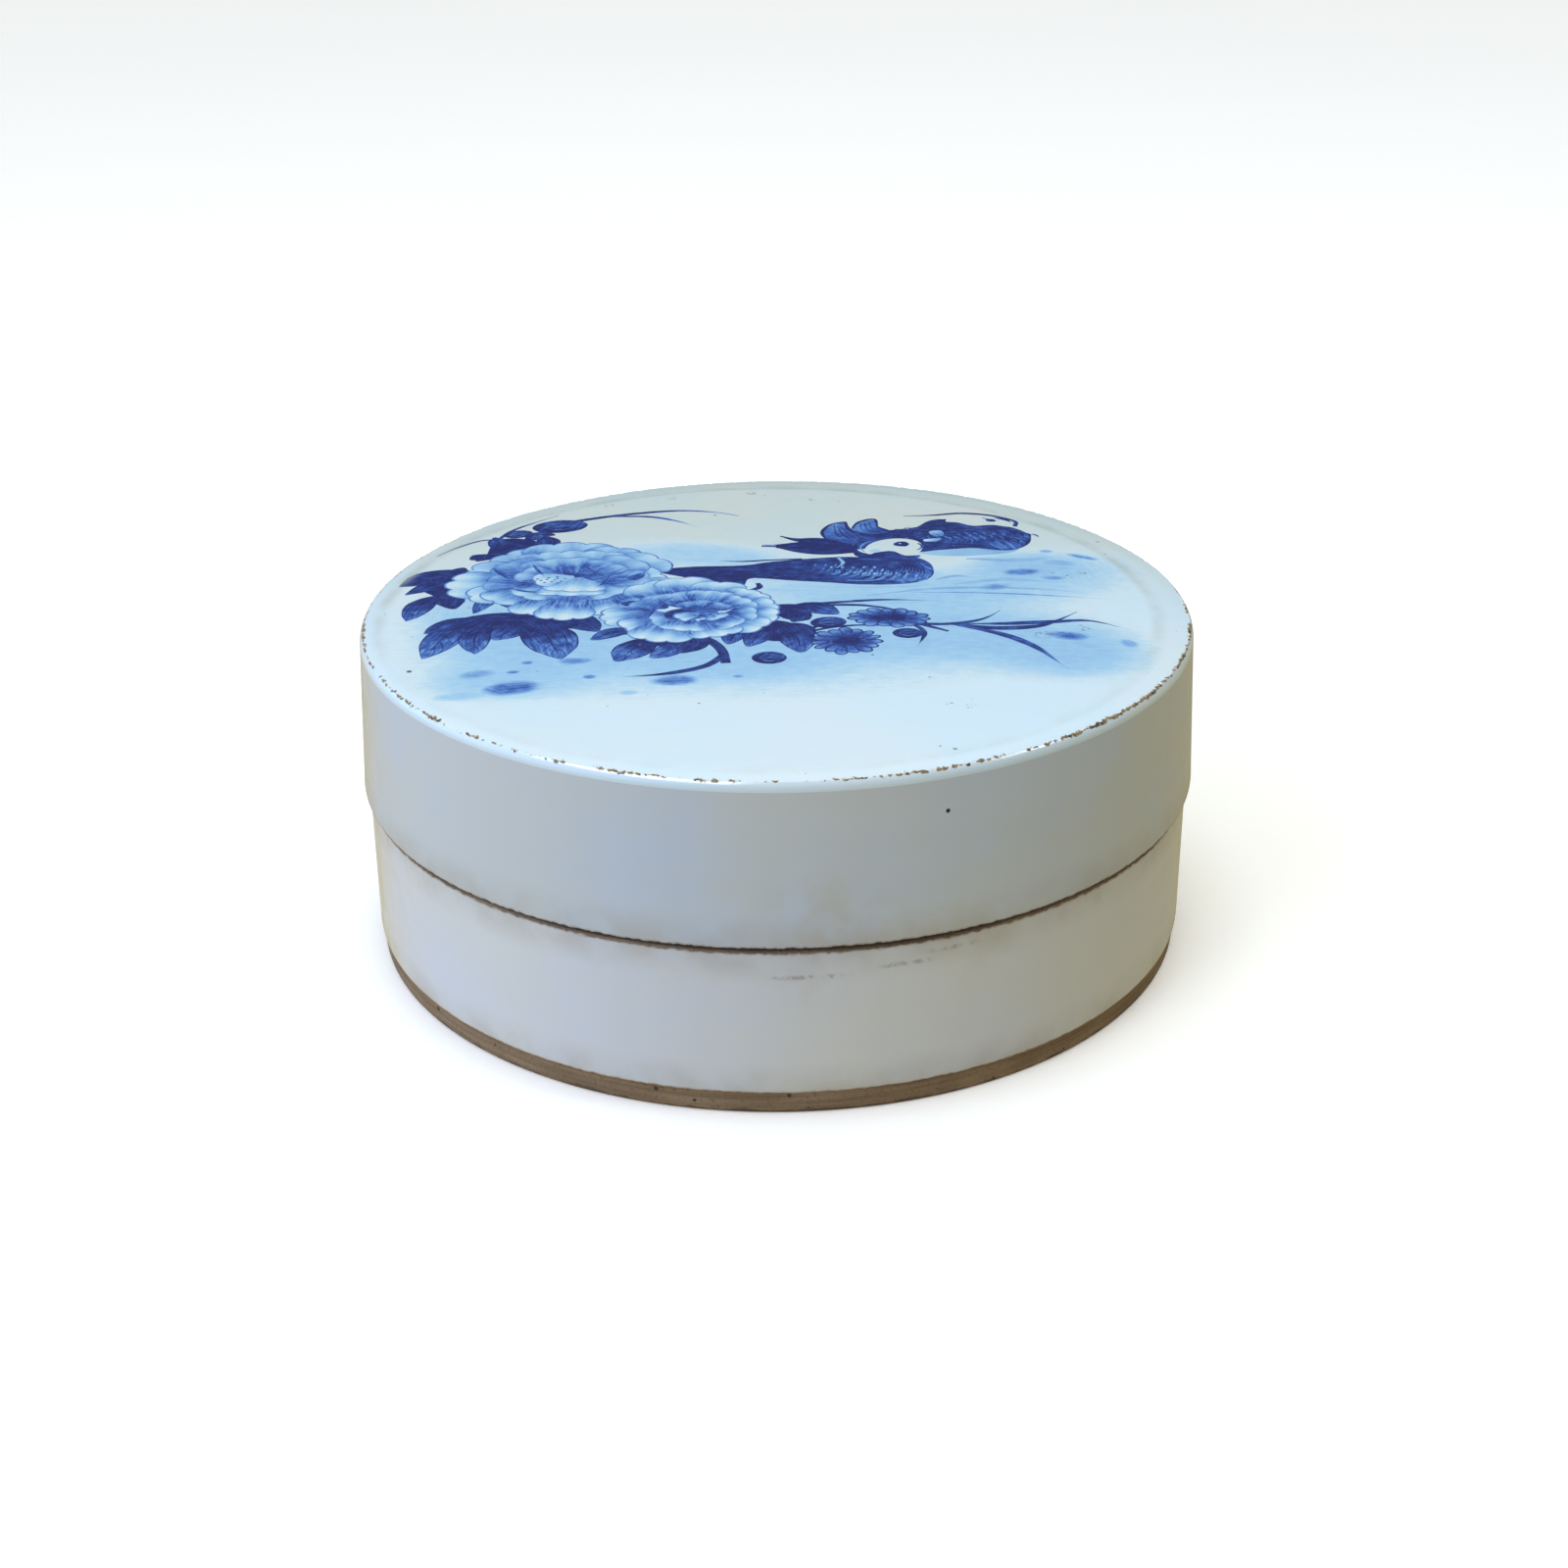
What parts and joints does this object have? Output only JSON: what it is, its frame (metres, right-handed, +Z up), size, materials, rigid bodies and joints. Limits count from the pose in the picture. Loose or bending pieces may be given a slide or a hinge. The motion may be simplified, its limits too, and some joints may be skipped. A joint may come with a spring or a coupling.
{
  "type": "porcelain trinket box",
  "caption": "Round shallow porcelain trinket box with a flat painted lift-off lid that sits over a collar on the base.",
  "frame": {"origin": "centre of the foot ring, on the surface the box stands on", "axes": "+Z up along the box's axis; -Y towards the front and +Y towards the top of the lid's painting; +X to the right"},
  "size_m": [0.185, 0.185, 0.0738],
  "materials": {
    "lid_porcelain": "glossy pale bluish-white porcelain glaze with underglaze blue painting; opaque, not see-through",
    "base_porcelain": "glossy pale grey-blue porcelain glaze with an unglazed brown foot, seat and collar; opaque, not see-through"
  },
  "bodies": {
    "base": {"base": "base_porcelain"},
    "lid": {"lid": "lid_porcelain"}
  },
  "joints": [
    {"name": "lid_lift", "type": "slide", "parent": "base", "child": "lid", "axis": [0, 0, 1], "range_m": [0, 0.08]}
  ]
}
